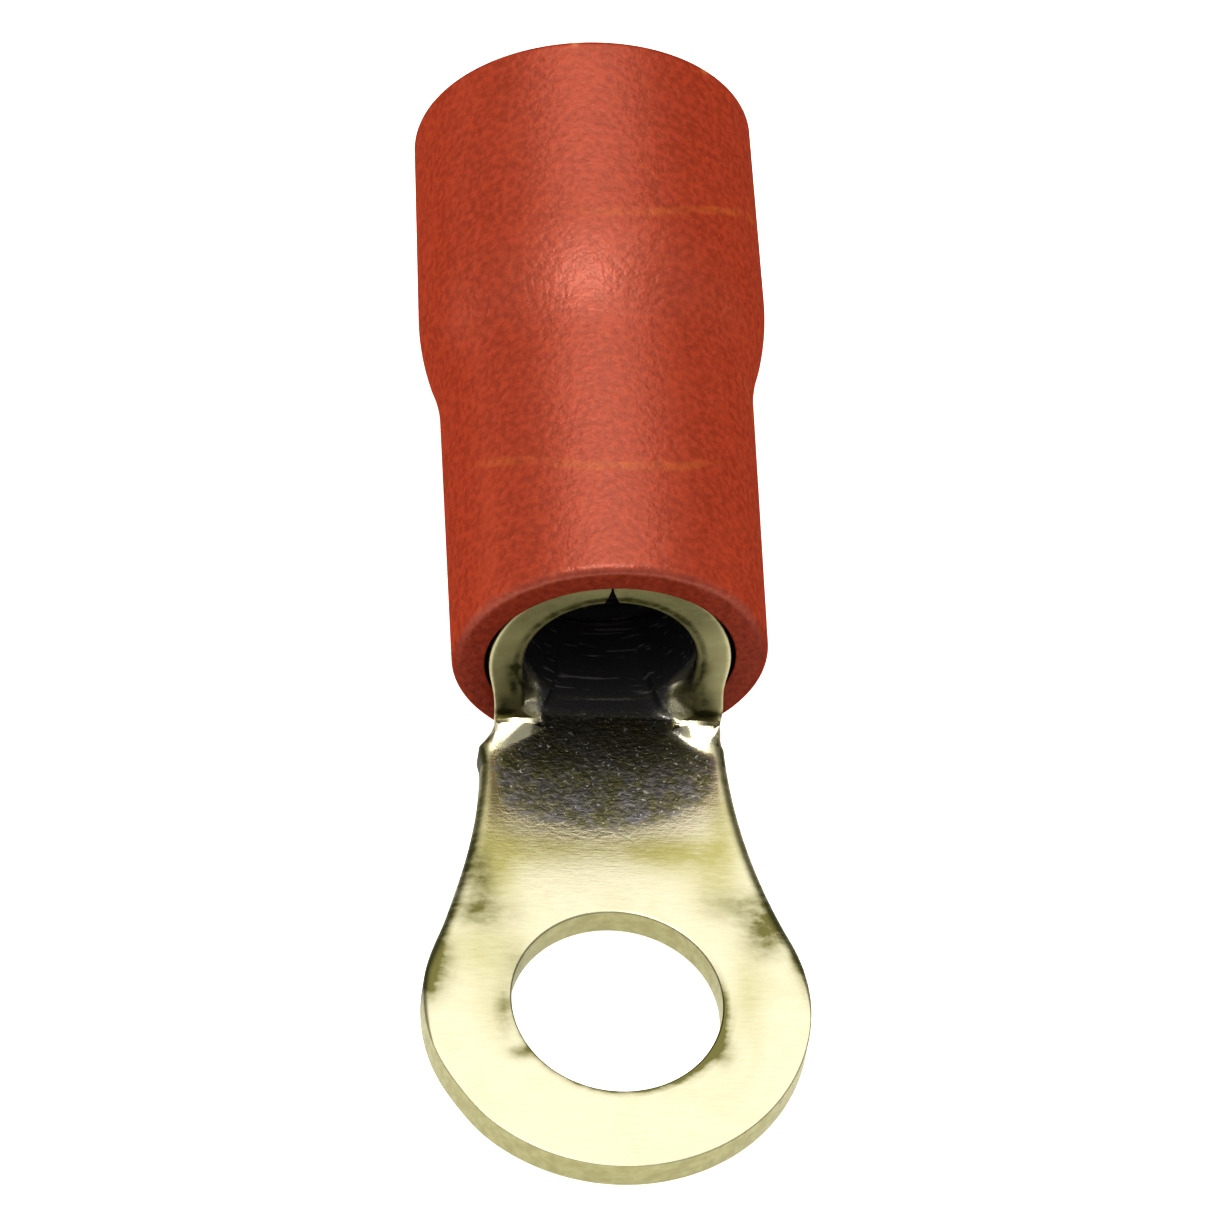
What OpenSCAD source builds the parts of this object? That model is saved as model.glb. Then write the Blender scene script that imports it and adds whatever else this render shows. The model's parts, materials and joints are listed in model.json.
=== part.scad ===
// Insulated ring terminal: a ring, tongue and rolled barrel in one piece of sheet, and a moulded
// sleeve over the barrel. Lengths are in millimetres. The origin is the centre of the stud hole
// on the seating face; +Z runs along the screw and +Y runs back to where the wire goes in.

/* [Ring and tongue] */
// Diameter of the stud hole, which clears an M3 screw
stud_hole_d = 3.2; // [2.6:0.1:4]
// Outer diameter of the ring
ring_d = 5.9; // [5.2:0.05:7.2]
// Thickness of the sheet that the whole body is stamped from
sheet_t = 0.53; // [0.4:0.01:0.7]
// Width of the tongue at its narrowest, where it runs into the barrel
neck_w = 3.68; // [3.2:0.02:3.8]
// Radius of the hollow curve from the ring to the neck
flare_r = 9.5; // [6:0.5:16]
// Distance from the stud hole's centre to the front of the sleeve
stud_to_sleeve = 5.31; // [5:0.01:7]

/* [Barrel] */
// Diameter of the bore that takes the stripped conductor
barrel_bore_d = 2.64; // [2.2:0.02:3]
// Length of the barrel inside the sleeve
barrel_len = 4.8; // [3.6:0.1:5.4]
// How far the curled sides start ahead of the sleeve
curl_len = 0.66; // [0.4:0.02:1]
// How far the feet of the barrel's walls stand ahead of the sleeve
foot_len = 0.22; // [0.1:0.02:0.3]
// Width of the body across those feet
foot_w = 3.46; // [3.2:0.02:3.66]
// Outer radius of the bend between the floor and the feet
foot_r = 0.5; // [0.3:0.02:0.8]
// How far the top of the barrel's mouth sits back inside the sleeve
mouth_setback = 0.19; // [0:0.01:0.4]
// Length over which the square mouth becomes a round bore
mouth_len = 0.4; // [0.3:0.05:1]
// Inner radius of the mouth's lower corners
mouth_corner_r = 0.3; // [0.15:0.05:0.6]
// Wall between the mouth's lower corners and the outside of the feet
mouth_wall = 0.46; // [0.4:0.02:0.6]

/* [Seam] */
// Turn of the seam away from the top of the barrel, in degrees
seam_turn = 4; // [-8:1:8]
// Width of the slit between the two butted edges
seam_gap = 0.05; // [0.02:0.01:0.12]
// Width of the groove that the rounded edges leave along the inside of the seam
seam_groove_w = 0.26; // [0.1:0.02:0.4]
// Depth of that groove
seam_groove_depth = 0.3; // [0.1:0.02:0.36]

/* [Grip grooves in the bore] */
// Number of grooves round the inside of the barrel
groove_count = 3; // [1:1:4]
// Distance from one groove to the next
groove_pitch = 0.8; // [0.6:0.05:1]
// Width of a groove
groove_w = 0.3; // [0.2:0.02:0.4]
// Depth of a groove
groove_depth = 0.08; // [0.04:0.01:0.15]

/* [Sleeve] */
// Radial gap between the barrel and the sleeve's front bore
sleeve_fit = 0.02; // [0.01:0.01:0.05]
// Gap between the body's shoulders or rear end and the sleeve's faces
seat_gap = 0.02; // [0.01:0.01:0.05]
// Wall of the sleeve round the barrel
front_wall = 0.54; // [0.4:0.02:0.8]
// Length of the whole sleeve
sleeve_len = 9.8; // [8.5:0.1:12]
// Distance from the sleeve's front to the start of its step
step_at = 5; // [4:0.1:5.6]
// Length of the step's rounded shoulder
step_len = 1.4; // [0.8:0.05:2]
// Diameter of the rear bore that takes the wire's insulation
entry_d = 4.2; // [3.8:0.05:4.8]
// Wall of the rear part at the shoulder
rear_wall = 0.57; // [0.4:0.01:0.8]
// How much the rear part's outside narrows in radius towards its end
rear_draft = 0.06; // [0:0.01:0.1]
// Rounding of the sleeve's outer front edge
front_edge_r = 0.14; // [0.05:0.01:0.3]
// Rounding of the sleeve's outer rear edge
rear_edge_r = 0.1; // [0.05:0.01:0.2]
// Bevel at the mouths of the sleeve's bores
bore_bevel = 0.08; // [0.03:0.01:0.15]
// How much wider than the barrel's bore the funnel's narrow end is, in radius
funnel_step = 0.06; // [0.02:0.01:0.15]
// Length of the funnel from the barrel's rear end to the rear bore
funnel_len = 1.1; // [0.8:0.05:1.6]

/* [Hidden] */
$fn = 96;
// Overlap that makes cuts run clean through a face
over = 0.1;
// Thickness of the sections that a blended surface is drawn between
slice = 0.01;
ring_r = ring_d / 2;
bore_r = barrel_bore_d / 2;
barrel_r = bore_r + sheet_t;
axis_z = barrel_r;
// Centre of the hollow curve, which touches both the ring and the neck's narrowest line
flare_x = neck_w / 2 + flare_r;
flare_y = sqrt(pow(ring_r + flare_r, 2) - pow(flare_x, 2));
touch_x = ring_r * flare_x / (ring_r + flare_r);
// Stations along the body
curl_y = stud_to_sleeve - curl_len;
foot_y = stud_to_sleeve - foot_len;
shoulder_y = stud_to_sleeve - seat_gap;
mouth_top_y = stud_to_sleeve + mouth_setback;
barrel_end_y = stud_to_sleeve + barrel_len;
// Half the tongue's width where the curl starts
curl_half_w = flare_x - sqrt(pow(flare_r, 2) - pow(flare_y - curl_y, 2));
// Lean of the mouth's face, from the feet to the top
mouth_lean = atan2(mouth_top_y - foot_y, 2 * barrel_r - sheet_t);
// Outside and inside of the sleeve
sleeve_bore_r = barrel_r + sleeve_fit;
front_r = sleeve_bore_r + front_wall;
entry_r = entry_d / 2;
shoulder_r = entry_r + rear_wall;
tail_r = shoulder_r - rear_draft;
funnel_r = bore_r + funnel_step;
step_end = step_at + step_len;
// Radius of the shoulder's arc, which ends level with the rear part
step_rise = shoulder_r - front_r;
step_r = (pow(step_len, 2) + pow(step_rise, 2)) / (2 * step_rise);
funnel_at = barrel_len + seat_gap;

// Turns a drawing in X and Z, and its extrusion, to run along +Y from station y
module along_y(y, length) {
    translate([0, y + length, 0]) rotate([90, 0, 0]) linear_extrude(length) children();
}

// A straight round bar along +Y on the barrel's axis
module round_bar(r, y, length) {
    translate([0, y, axis_z]) rotate([-90, 0, 0]) cylinder(r = r, h = length);
}

// Outline of the ring and the tongue, seen from above
module tongue_outline(end_y) {
    circle(r = ring_r);
    difference() {
        translate([-touch_x, 0]) square([2 * touch_x, end_y]);
        for (side = [-1, 1]) translate([side * flare_x, flare_y]) circle(r = flare_r, $fn = 360);
    }
}

// A shape with a flat floor, rounded lower corners and sides that run up to touch a round top
module arch(half_w, floor_z, corner_r, top_r) {
    corner = [half_w - corner_r, floor_z + corner_r];
    reach = norm(corner - [0, axis_z]);
    // Direction square to the side, which touches both the corner's circle and the top's
    lean = acos((top_r - corner_r) / reach) + atan2(corner[1] - axis_z, corner[0]);
    out = [cos(lean), sin(lean)];
    low = corner + corner_r * out;
    high = [0, axis_z] + top_r * out;
    translate([0, axis_z]) circle(r = top_r);
    for (side = [-1, 1]) translate([side * corner[0], corner[1]]) circle(r = corner_r);
    polygon([
        [-corner[0], floor_z], [corner[0], floor_z], corner, low, high, [0, axis_z],
        [-high[0], high[1]], [-low[0], low[1]], [-corner[0], corner[1]]
    ]);
}

// The sheet's floor where its lower edges curl up towards the barrel
module curl() {
    hull() {
        along_y(curl_y - slice, slice) translate([-curl_half_w, 0]) square([2 * curl_half_w, sheet_t]);
        along_y(foot_y, slice) intersection() {
            arch(foot_w / 2, 0, foot_r, barrel_r, $fn = 32);
            translate([-barrel_r, 0]) square([2 * barrel_r, sheet_t]);
        }
    }
}

// The square-footed collar that joins the tongue to the round barrel
module collar() {
    along_y(foot_y, shoulder_y - foot_y) arch(foot_w / 2, 0, foot_r, barrel_r);
    round_bar(barrel_r, foot_y, barrel_end_y - foot_y);
}

// The space inside the collar, square at the mouth and round behind
module mouth() {
    hull() {
        along_y(foot_y - slice, slice) arch(foot_w / 2 - mouth_wall, sheet_t, mouth_corner_r, bore_r, $fn = 32);
        along_y(foot_y + mouth_len, slice) translate([0, axis_z]) circle(r = bore_r, $fn = 64);
    }
}

// Cuts the barrel's front back to a face that leans from the feet up to the top
module mouth_face() {
    translate([0, foot_y, sheet_t + slice]) rotate([-mouth_lean, 0, 0])
        translate([-ring_r, -ring_r, 0]) cube([2 * ring_r, ring_r, 3 * barrel_r]);
}

// The slit where the rolled edges meet, with the groove along its inside
module seam() {
    translate([0, 0, axis_z]) rotate([0, -seam_turn, 0]) translate([0, 0, -axis_z])
        along_y(foot_y - over, barrel_end_y - foot_y + 2 * over) {
            translate([-seam_gap / 2, axis_z]) square([seam_gap, barrel_r + over]);
            translate([0, axis_z + bore_r]) polygon([
                [-seam_groove_w / 2, -over / 2],
                [-seam_groove_w / 2, 0],
                [0, seam_groove_depth],
                [seam_groove_w / 2, 0],
                [seam_groove_w / 2, -over / 2]
            ]);
        }
}

// Shallow V grooves round the bore that bite into the strands
module grip_grooves() {
    first_y = (foot_y + mouth_len + barrel_end_y - (groove_count - 1) * groove_pitch) / 2;
    // Half the width that the V's sides reach when they run on into the bore
    half_w = groove_w / 2 * (groove_depth + over) / groove_depth;
    for (i = [0:groove_count - 1])
        translate([0, first_y + i * groove_pitch, axis_z]) rotate([-90, 0, 0]) rotate_extrude()
            polygon([[bore_r - over, -half_w], [bore_r + groove_depth, 0], [bore_r - over, half_w]]);
}

module barrel() {
    difference() {
        collar();
        mouth();
        mouth_face();
        round_bar(bore_r, foot_y + mouth_len, barrel_end_y);
    }
}

module terminal_body() {
    color([0.86, 0.84, 0.72]) difference() {
        union() {
            linear_extrude(sheet_t) tongue_outline(curl_y);
            curl();
            barrel();
        }
        translate([0, 0, -over]) cylinder(d = stud_hole_d, h = sheet_t + 2 * over);
        grip_grooves();
        seam();
    }
}

// Half section of the sleeve: radius along X, distance from its front along Y
module sleeve_section() {
    difference() {
        union() {
            square([front_r - front_edge_r, step_at]);
            translate([0, front_edge_r]) square([front_r, step_at - front_edge_r + over]);
            translate([front_r - front_edge_r, front_edge_r]) circle(r = front_edge_r);
            intersection() {
                translate([shoulder_r - step_r, step_end]) circle(r = step_r, $fn = 360);
                translate([0, step_at]) square([shoulder_r, step_len]);
            }
            polygon([
                [0, step_end],
                [shoulder_r, step_end],
                [tail_r, sleeve_len - rear_edge_r],
                [tail_r - rear_edge_r, sleeve_len],
                [0, sleeve_len]
            ]);
        }
        translate([-over, -over]) square([sleeve_bore_r + over, funnel_at + over]);
        polygon([
            [-over, funnel_at - over],
            [funnel_r, funnel_at - over],
            [funnel_r, funnel_at],
            [entry_r, funnel_at + funnel_len],
            [entry_r, sleeve_len - bore_bevel],
            [entry_r + 2 * bore_bevel, sleeve_len + bore_bevel],
            [-over, sleeve_len + bore_bevel]
        ]);
        polygon([
            [0, -bore_bevel],
            [sleeve_bore_r + 2 * bore_bevel, -bore_bevel],
            [sleeve_bore_r, bore_bevel],
            [0, bore_bevel]
        ]);
    }
}

module insulation_sleeve() {
    color([0.76, 0.2, 0.13])
        translate([0, stud_to_sleeve, axis_z]) rotate([-90, 0, 0]) rotate_extrude() sleeve_section();
}

terminal_body();
insulation_sleeve();
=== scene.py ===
# %% [markdown]
# A ring terminal for a stranded wire: one stamped piece of tinned copper sheet, and a red
# plastic sleeve pushed over its barrel. The solid model is made in another program and
# packed, so the first thing is to load it as a fixed frame. Every length below is in
# millimetres while a shape is worked out, and becomes metres when the mesh is made.

# %% Load the solid model as the frame
import json
import math
import bpy
import bmesh
import numpy as np
from mathutils import Matrix, Vector


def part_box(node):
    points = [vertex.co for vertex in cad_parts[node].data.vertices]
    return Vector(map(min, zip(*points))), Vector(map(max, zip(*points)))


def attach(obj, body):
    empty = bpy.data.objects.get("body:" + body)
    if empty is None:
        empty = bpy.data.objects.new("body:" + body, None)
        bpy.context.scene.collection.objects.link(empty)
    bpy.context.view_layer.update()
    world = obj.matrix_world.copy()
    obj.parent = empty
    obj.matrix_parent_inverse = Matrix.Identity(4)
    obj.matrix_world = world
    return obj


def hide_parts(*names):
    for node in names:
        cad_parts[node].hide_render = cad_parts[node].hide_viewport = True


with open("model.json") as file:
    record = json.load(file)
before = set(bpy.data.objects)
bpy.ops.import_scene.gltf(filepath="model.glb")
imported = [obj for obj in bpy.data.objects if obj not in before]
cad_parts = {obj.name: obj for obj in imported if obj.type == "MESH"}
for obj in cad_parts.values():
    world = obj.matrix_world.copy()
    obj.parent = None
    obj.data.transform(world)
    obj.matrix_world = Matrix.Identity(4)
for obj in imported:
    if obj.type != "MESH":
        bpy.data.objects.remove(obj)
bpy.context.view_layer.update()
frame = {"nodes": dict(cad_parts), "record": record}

print("nodes in the frame:", sorted(frame["nodes"]))

# %% [markdown]
# The visible meshes have to fit the solid model, so their main sizes are read from it and
# not typed again: the mounts give the stud hole, the sheet and the two bores, and the boxes
# give the ring, the axis of the barrel and the two ends of the sleeve. A change in the solid
# then carries over by itself.

# %% Read the sizes
MM = 0.001
body_low, body_high = (np.array(corner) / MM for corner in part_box("terminal_body"))
sleeve_low, sleeve_high = (np.array(corner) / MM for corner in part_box("insulation_sleeve"))
mounts = {mount["name"]: mount["dims"] for mount in frame["record"]["mounts"]}
places = {mount["name"]: mount["pos_m"] for mount in frame["record"]["mounts"]}
hole_r = mounts["stud_hole"]["r_mm"]
sheet = mounts["stud_hole"]["length_mm"]
bore_r = mounts["conductor_barrel"]["r_mm"]
entry_r = mounts["insulation_entry"]["r_mm"]
ring_r = min(-body_low[0], -body_low[1])
barrel_end = body_high[1]
axis_z = places["conductor_barrel"][2] / MM
barrel_r = axis_z
sleeve_start, sleeve_end = sleeve_low[1], sleeve_high[1]
print(f"ring {2 * ring_r:.2f} across, sheet {sheet:.2f} thick, barrel {2 * barrel_r:.2f} outside")
print(f"sleeve from {sleeve_start:.2f} to {sleeve_end:.2f}, axis {axis_z:.2f} above the seat")

# %% [markdown]
# A box can't give every size. The radius of the neck's curve, the walls of the sleeve and
# the rest below are the ones that the solid was drawn with, each written once, here. Only
# the feet and the mouth are a little wider than in the solid, by less than a tenth.

# %% Sizes that no box gives
neck_w, flare_r = 3.68, 9.5
curl_len, foot_len = 0.66, 0.22
foot_half, foot_r = 1.74, 0.5
mouth_half, mouth_r, mouth_len, mouth_setback = 1.34, 0.3, 0.4, 0.19
groove_pitch, groove_w, groove_depth = 0.8, 0.3, 0.08
seam_turn, seam_gap, seam_deep = math.radians(4), 0.05, 0.3
fit = 0.02
front_wall, rear_wall, rear_draft = 0.54, 0.57, 0.06
step_at, step_len, funnel_len = 5, 1.4, 1.1
front_edge, tail_edge, entry_edge = 0.14, 0.1, 0.08
curl_y, foot_y = sleeve_start - curl_len, sleeve_start - foot_len
print(f"the sides start to curl at {curl_y:.2f}, and the barrel's feet stand at {foot_y:.2f}")

# %% [markdown]
# Sheet metal is recognised by its edges: each one is a narrow round band that catches the
# light. A bevel modifier could round them, but it fails where three bends meet. So the mesh
# is welded from patches instead. Each patch is a grid of points, rows by columns, and two
# patches that share an edge are given the very same points along it, so that welding the
# doubles closes the skin and leaves the round edges as real geometry.

# %% A skin that is welded from grids
class Skin:
    """Collects grids of points in millimetres, marked for cut edges and for depth inside."""

    def __init__(self):
        self.points, self.faces, self.cut, self.deep = [], [], [], []
        self.count = 0

    def grid(self, rows, cut=0.0, deep=0.0):
        rows = np.asarray(rows, float)
        m, n = rows.shape[:2]
        index = self.count + np.arange(m * n).reshape(m, n)
        self.points.append(rows.reshape(-1, 3))
        for marks, mark in ((self.cut, cut), (self.deep, deep)):
            marks.append(np.broadcast_to(np.asarray(mark, float), (m, n)).reshape(-1))
        a, b, c, d = index[:-1, :-1], index[:-1, 1:], index[1:, 1:], index[1:, :-1]
        self.faces += np.stack([a, b, c, d], -1).reshape(-1, 4).tolist()
        self.count += m * n

    def polygon(self, loop):
        loop = np.asarray(loop, float)
        self.points.append(loop)
        self.cut.append(np.ones(len(loop)))
        self.deep.append(np.ones(len(loop)))
        self.faces.append(list(range(self.count, self.count + len(loop))))
        self.count += len(loop)

    def build(self, name, warp=None, wear=None, sharp=40):
        points = np.concatenate(self.points)
        marks = {"cut_edge": np.concatenate(self.cut), "inside": np.concatenate(self.deep)}
        if wear is not None:
            marks.update(wear(points))
        if warp is not None:
            points = warp(points)
        mesh = bpy.data.meshes.new(name)
        mesh.from_pydata((points * MM).tolist(), [], self.faces)
        for label, values in marks.items():
            mark = mesh.attributes.new(label, "FLOAT", "POINT")
            mark.data.foreach_set("value", values.astype(np.float32))
        skin = bmesh.new()
        skin.from_mesh(mesh)
        bmesh.ops.remove_doubles(skin, verts=skin.verts, dist=2e-7)
        bmesh.ops.dissolve_degenerate(skin, edges=skin.edges, dist=1e-8)
        bmesh.ops.triangulate(skin, faces=[f for f in skin.faces if len(f.verts) > 4])
        bmesh.ops.recalc_face_normals(skin, faces=skin.faces)
        open_edges = [e for e in skin.edges if len(e.link_faces) != 2]
        print(f"{name}: {len(skin.verts)} points, {len(skin.faces)} faces, "
              f"{len(open_edges)} open edges")
        skin.to_mesh(mesh)
        skin.free()
        mesh.shade_smooth()
        mesh.set_sharp_from_angle(angle=math.radians(sharp))
        piece = bpy.data.objects.new(name, mesh)
        bpy.context.scene.collection.objects.link(piece)
        return piece


# %% [markdown]
# Three small helpers do most of the shaping. One eases a number from 0 to 1 without a kink,
# so that forms melt into each other. One goes from one value to another, and one is a soft
# hump round a middle value.

# %% Blend and ease
def smooth(t):
    t = np.clip(t, 0, 1)
    return t * t * (3 - 2 * t)


def mix(a, b, t):
    return a + (b - a) * t


def hump(value, middle, half_width, power=2):
    """1 at the middle, about a third at half_width from it, next to nothing at twice that."""
    return np.exp(-(np.abs(value - middle) / half_width) ** power)


print("easing 0, 0.25, 0.5 and 1 gives", [round(float(smooth(t)), 3) for t in (0, 0.25, 0.5, 1)])

# %% [markdown]
# The blank is punched from a strip. Its outline is the ring and two hollow arcs that touch
# the ring and are narrowest at the neck. The solid was drawn with the same arcs, so the two
# outlines agree. The point where ring and arc touch follows from their two radii.

# %% The outline of ring and tongue
flare_x = neck_w / 2 + flare_r
flare_y = math.sqrt((ring_r + flare_r) ** 2 - flare_x ** 2)
touch_x, touch_y = (ring_r * v / (ring_r + flare_r) for v in (flare_x, flare_y))


def edge_x(y):
    """Half the tongue's width at station y, past the ring."""
    return flare_x - np.sqrt(flare_r ** 2 - (flare_y - y) ** 2)


def rim_profile(top_in, top_down, foot_in, foot_up, steps=6):
    """Insets and heights down a cut edge, rolled over at the top and a little at the foot."""
    turn = np.linspace(0, np.pi / 2, steps)
    inset = np.concatenate([top_in * (1 - np.sin(turn)), foot_in * (1 - np.cos(turn))])
    height = np.concatenate([sheet - top_down * (1 - np.cos(turn)), foot_up * (1 - np.sin(turn))])
    return inset, height


print(f"neck {2 * edge_x(curl_y):.2f} wide at the curl, ring and arc touch at {touch_y:.2f}")

# %% [markdown]
# A punch drags the sheet down at the edge where it enters and leaves a sharper one where it
# comes out. So the top edges are rolled over and the lower ones hardly are. The roll is
# widest along the neck and on the ring's left shoulder, and nearly gone round the front.

# %% How far each edge is rolled over
outer_in, outer_z = rim_profile(0.2, 0.12, 0.04, 0.04)
hole_in, hole_z = rim_profile(0.035, 0.03, 0.03, 0.03)
wall_mark = np.concatenate([np.linspace(0, 1, 6), np.ones(6)])
print(f"{len(outer_z)} points down a cut edge, rolled {outer_in[0]:.2f} in and "
      f"{sheet - outer_z[5]:.2f} down")

# %% Ring and hole
leg_cols, floor_cols = 18, 40
plate_cols = 2 * leg_cols + floor_cols
join_y = 2.45
flare_steps = np.linspace(join_y, touch_y, 24)
right = np.stack([edge_x(flare_steps), flare_steps], -1)
right_in = (right - [flare_x, flare_y]) / flare_r
touch_angle = math.atan2(touch_y, touch_x)
ring_turn = np.linspace(touch_angle, -np.pi - touch_angle, 260)[1:-1]
arc = np.stack([np.cos(ring_turn), np.sin(ring_turn)], -1)
outline = np.concatenate([right, ring_r * arc, right[::-1] * [-1, 1]])
inward = np.concatenate([right_in, -arc, right_in[::-1] * [-1, 1]])
across = np.linspace(0, 1, plate_cols + 1)


def flat(points, z):
    return np.concatenate([points, np.full((len(points), 1), z)], 1)


def plate_row(y, inset, z):
    """A row of points from the left edge to the right edge of the tongue."""
    edge = np.array([edge_x(y), y])
    corner = edge + (edge - [flare_x, flare_y]) / flare_r * inset
    left = corner * [-1, 1]
    return flat(mix(left, corner, across[:, None]), z)


body = Skin()
toward_neck = mix(0.12, 1.0, smooth((outline[:, 1] + 0.4) / 1.8))
left_shoulder = smooth((-outline[:, 0] - 0.6) / 1.4) * smooth((outline[:, 1] + 1.2) / 1.2)
rolled = np.maximum(toward_neck, 0.6 * left_shoulder)[:, None]
rings = np.concatenate([[0, 0.03, 0.08], np.linspace(0.16, 0.84, 9), [0.92, 0.97, 1]])
plain_edge = np.concatenate([outline, plate_row(join_y, 0.0, 0.0)[1:, :2]])
hole_angle = np.arctan2(plain_edge[:, 1], plain_edge[:, 0])
round_hole = np.stack([np.cos(hole_angle), np.sin(hole_angle)], -1)
for inset, hole_inset, z in ((outer_in[0], hole_in[0], sheet), (outer_in[-1], hole_in[-1], 0.0)):
    ring_edge = flat(outline + inward * inset * rolled, z)
    boundary = np.concatenate([ring_edge, plate_row(join_y, inset, z)[1:]])
    hole = flat((hole_r + hole_inset) * round_hole, z)
    body.grid(mix(hole[None], boundary[None], rings[:, None, None]), 0.0)
walls = []
for inset, z in zip(outer_in, outer_z):
    height = sheet - (sheet - z) * rolled if z > sheet / 2 else z + 0 * rolled
    walls.append(np.concatenate([outline + inward * inset * rolled, height], 1))
body.grid(walls, wall_mark[:, None])
print(f"ring outline: {len(outline)} points")

# %% Hole wall, walls of the neck, and the plate up to the curl
hole_walls = [flat((hole_r + i) * round_hole, z) for i, z in zip(hole_in, hole_z)]
body.grid(hole_walls, wall_mark[:, None])


def wall_row(y, side):
    """Points down the tongue's cut edge at station y; side is 1 or -1."""
    edge = np.array([edge_x(y), y])
    inward_dir = (edge - [flare_x, flare_y]) / flare_r
    down = np.array([np.append(edge + inward_dir * i, z) for i, z in zip(outer_in, outer_z)])
    return down * [side, 1, 1]


neck_y = np.linspace(join_y, curl_y, 38)
body.grid([plate_row(y, outer_in[0], sheet) for y in neck_y], 0.0)
body.grid([plate_row(y, outer_in[-1], 0.0) for y in neck_y], 0.0)
for side in (1, -1):
    body.grid([wall_row(y, side) for y in neck_y], wall_mark[None])
print(f"plate: {body.count} grid points so far")

# %% [markdown]
# Behind the neck the blank is wider, and its two wings are rolled up until their edges meet
# on top. The wings' front edges make the horseshoe that is seen in the sleeve's mouth. Such
# a form could be swept along a path, but here it changes from square to round as it goes.
# Seen from the axis, though, every section is one radius for each angle: a flat floor, two
# small bends and a round top in front, which turn into a plain circle further in. So the
# radii are mixed, and the sections follow.

# %% Sections of the barrel as a radius for each angle
turn_table = np.linspace(0, np.pi, 721)


def arch_radius(half_w, floor_z, corner_r, top_r):
    """Radius seen from the axis, by angle from straight down, of a round arch on a flat floor."""
    reach = (half_w - corner_r) * np.sin(turn_table) - (floor_z + corner_r - axis_z) * np.cos(turn_table)
    support = np.maximum(reach + corner_r, top_r)
    facing = np.cos(turn_table[None] - turn_table[:, None])
    return np.where(facing > 0.05, support[None] / np.maximum(facing, 0.05), 1e9).min(1)


lean = (mouth_setback + foot_len) / (2 * barrel_r - sheet)
outer_arch = arch_radius(foot_half, 0.0, foot_r, barrel_r)
inner_arch = arch_radius(mouth_half, sheet, mouth_r, bore_r)
groove_mid = (foot_y + mouth_len + barrel_end) / 2


def outer_radius(angle, y):
    """Square-footed at the mouth and round from where the sleeve begins."""
    square_until, round_from = foot_y + 0.04, sleeve_start - fit
    rounded = smooth((y - square_until) / (round_from - square_until))
    return mix(np.interp(np.abs(angle), turn_table, outer_arch), barrel_r, rounded)


def inner_radius(angle, y):
    """The mouth's square becomes the round bore, slowly on the floor; then come the grooves."""
    length = mix(1.8, mouth_len, smooth((np.abs(angle) - 0.42) / 0.25))
    square = np.interp(np.abs(angle), turn_table, inner_arch)
    plain = mix(square, bore_r, smooth((y - foot_y) / length))
    nearest = np.clip(np.round((y - groove_mid) / groove_pitch), -1, 1) * groove_pitch + groove_mid
    return plain + groove_depth * np.clip(1 - np.abs(y - nearest) / (groove_w / 2), 0, 1)


def around(angle, radius, y):
    return np.stack([radius * np.sin(angle), y + 0 * angle, axis_z - radius * np.cos(angle)], -1)


def skin_points(angle, radius_at, set_back):
    """Points on the inner or outer skin, set_back behind the leaning face of the mouth."""
    y = foot_y + set_back + 0 * angle
    for _ in range(6):
        z = axis_z - radius_at(angle, y) * np.cos(angle)
        y = foot_y + set_back + lean * np.maximum(z - sheet, 0)
    return around(angle, radius_at(angle, y), y)


print(f"outer arch {outer_arch.min():.2f} to {outer_arch.max():.2f} from the axis")

# %% [markdown]
# The horseshoe is the cut edge of the rolled wings, so it is as wide as the sheet is thick,
# with its two long edges rounded. On top the two halves meet at the seam, which is tight on
# the outside and opens into a small V on the inside, because both edges were rounded by the
# shears. One half is worked out and the other is its mirror image, turned with the seam.

# %% The horseshoe face, from each foot up to the seam
wing_cols, edge_r, seam_open = 84, 0.055, 0.10
quarter = np.linspace(0, np.pi / 2, 5)
inner_w = edge_r / sheet * (1 - np.cos(quarter))
face_w = np.linspace(inner_w[-1], 1 - inner_w[-1], 11)[1:-1]
leg_w = np.concatenate([inner_w, face_w, 1 - inner_w[::-1]])
edge_back = edge_r * (1 - np.sin(quarter))
leg_back = np.concatenate([edge_back, 0 * face_w, edge_back[::-1]])
foot_angle_in = math.atan2(mouth_half - mouth_r, axis_z - sheet)
foot_angle_out = turn_table[np.argmax(axis_z - outer_arch * np.cos(turn_table) > sheet)]
climb = np.linspace(0, 1, wing_cols + 1) ** 1.2


def seam_angle(w, side):
    """Angle of the butted edge through the wall: a V on the inside, tight on the outside."""
    v_inside = seam_open * np.clip(1 - w * sheet / seam_deep, 0, 1)
    gap = seam_gap / 2 + v_inside + 0.03 * np.clip(w * 20 - 19, 0, 1)
    return np.pi + side * seam_turn - gap / mix(bore_r, barrel_r, w)


def wing_angles(side):
    inside = mix(foot_angle_in, seam_angle(0.0, side), climb)
    outside = mix(foot_angle_out, seam_angle(1.0, side), climb)
    return inside, outside


def horseshoe(side):
    inside, outside = wing_angles(side)
    rows = []
    for w, back in zip(leg_w, leg_back):
        inner, outer = (skin_points(turn, radius_at, back) for turn, radius_at in
                        ((inside, inner_radius), (outside, outer_radius)))
        point = mix(inner, outer, w)
        straight = mix(seam_angle(0.0, side), seam_angle(1.0, side), w)
        bend = (seam_angle(w, side) - straight) * smooth((climb - 0.9) / 0.1)
        x, z = point[:, 0], point[:, 2] - axis_z
        point[:, 0] = x * np.cos(bend) - z * np.sin(bend)
        point[:, 2] = axis_z + z * np.cos(bend) + x * np.sin(bend)
        rows.append(point * [side, 1, 1])
    return np.array(rows)


faces = {side: horseshoe(side) for side in (1, -1)}
for side in (1, -1):
    body.grid(faces[side], 0.75)
print(f"legs stand at {math.degrees(foot_angle_in):.0f} to {math.degrees(foot_angle_out):.0f} "
      "degrees from straight down")

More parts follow.
